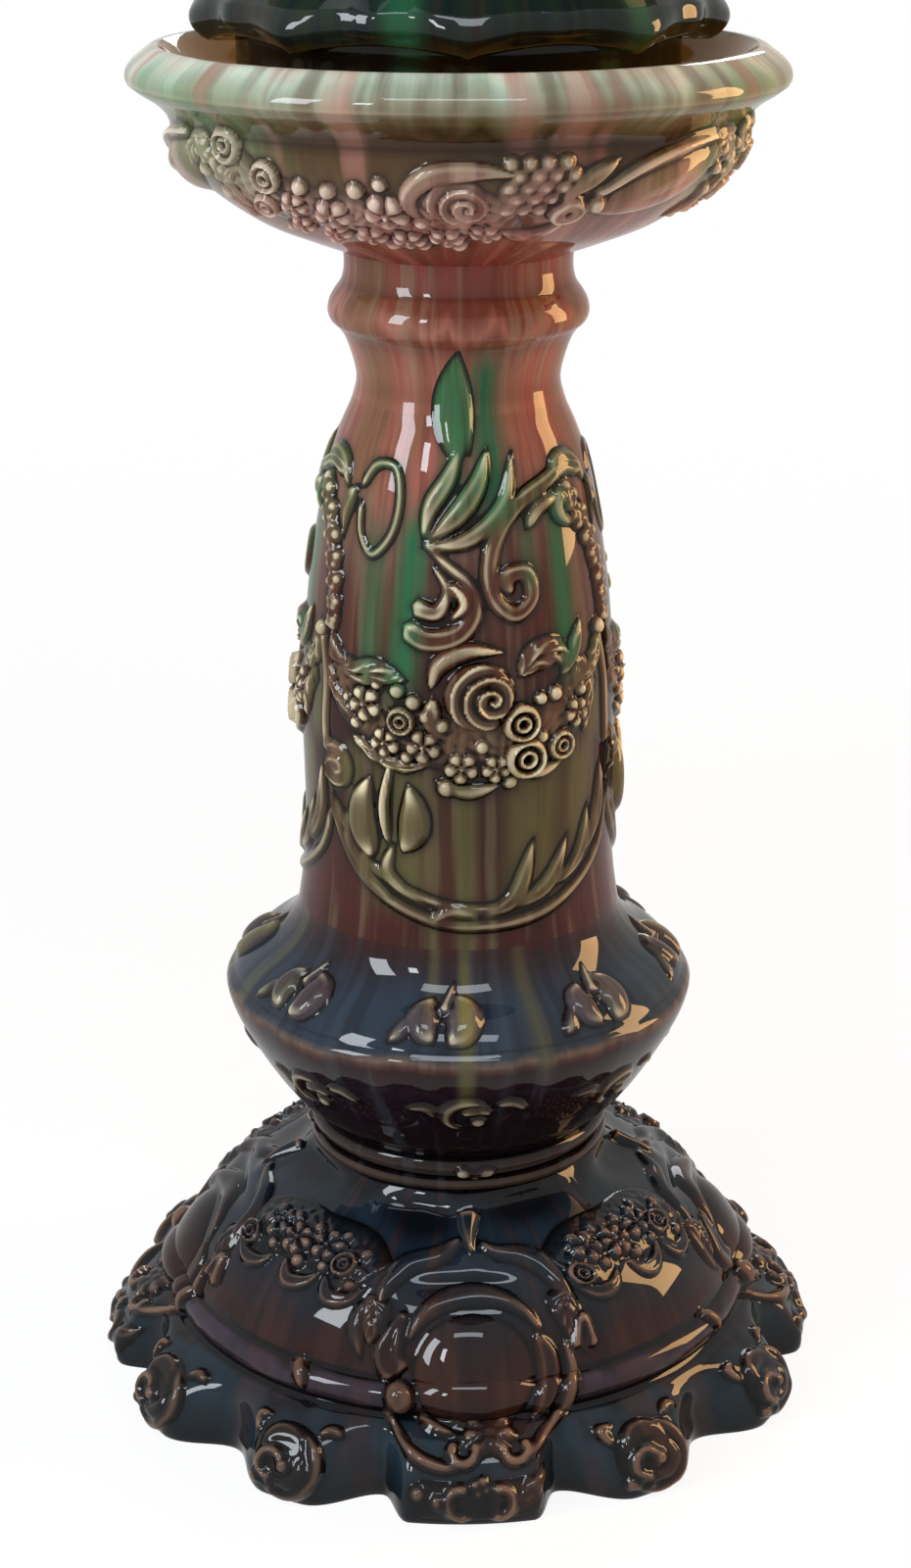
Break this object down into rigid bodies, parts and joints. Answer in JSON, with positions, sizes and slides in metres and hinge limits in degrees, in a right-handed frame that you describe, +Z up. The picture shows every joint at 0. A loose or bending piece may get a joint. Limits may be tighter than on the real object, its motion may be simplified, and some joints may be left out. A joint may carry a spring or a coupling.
{
  "type": "jardiniere on stand",
  "caption": "Glazed earthenware jardiniere on a tall pedestal stand with a scalloped foot, ringed knop, swelling column, collared neck, shallow dish and moulded relief.",
  "frame": {"origin": "on the floor, at the middle of the foot", "axes": "+Z up along the stand, -Y towards the front, +X to the right of someone facing the front"},
  "size_m": [0.36, 0.36, 0.916],
  "materials": {
    "foot_glaze": "gloss, blue-black",
    "foot_relief_glaze": "gloss, copper brown",
    "knop_glaze": "gloss, near black brown",
    "knop_relief_glaze": "gloss, olive and cream",
    "column_glaze": "gloss, maroon brown with green runs",
    "column_relief_glaze": "gloss, olive brown",
    "neck_glaze": "gloss, red pink and olive",
    "dish_glaze": "gloss, olive brown with a pale streaked rim",
    "dish_relief_glaze": "gloss, mauve pink",
    "jardiniere_glaze": "gloss, olive brown",
    "jardiniere_relief_glaze": "gloss, mauve pink"
  },
  "bodies": {
    "stand": {"stand_foot": "foot_glaze", "stand_knop": "knop_glaze", "stand_column": "column_glaze", "stand_neck": "neck_glaze", "stand_dish": "dish_glaze", "foot_medallions": "foot_relief_glaze", "foot_scroll_frames": "foot_relief_glaze", "foot_rosettes": "foot_relief_glaze", "foot_sprays": "foot_relief_glaze", "foot_lobe_scrolls": "foot_relief_glaze", "knop_leaves": "knop_relief_glaze", "column_frames": "column_relief_glaze", "column_garlands": "column_relief_glaze", "column_roses": "column_relief_glaze", "column_leaves": "column_relief_glaze", "column_chains": "column_relief_glaze", "dish_garlands": "dish_relief_glaze", "dish_cartouches": "dish_relief_glaze"},
    "jardiniere": {"jardiniere_foot": "jardiniere_glaze", "jardiniere_bowl": "jardiniere_glaze", "jardiniere_garlands": "jardiniere_relief_glaze", "jardiniere_bosses": "jardiniere_relief_glaze"}
  },
  "joints": [
    {"name": "jardiniere_lift", "type": "slide", "parent": "stand", "child": "jardiniere", "axis": [0, 0, 1], "range_m": [0, 0.15]}
  ]
}
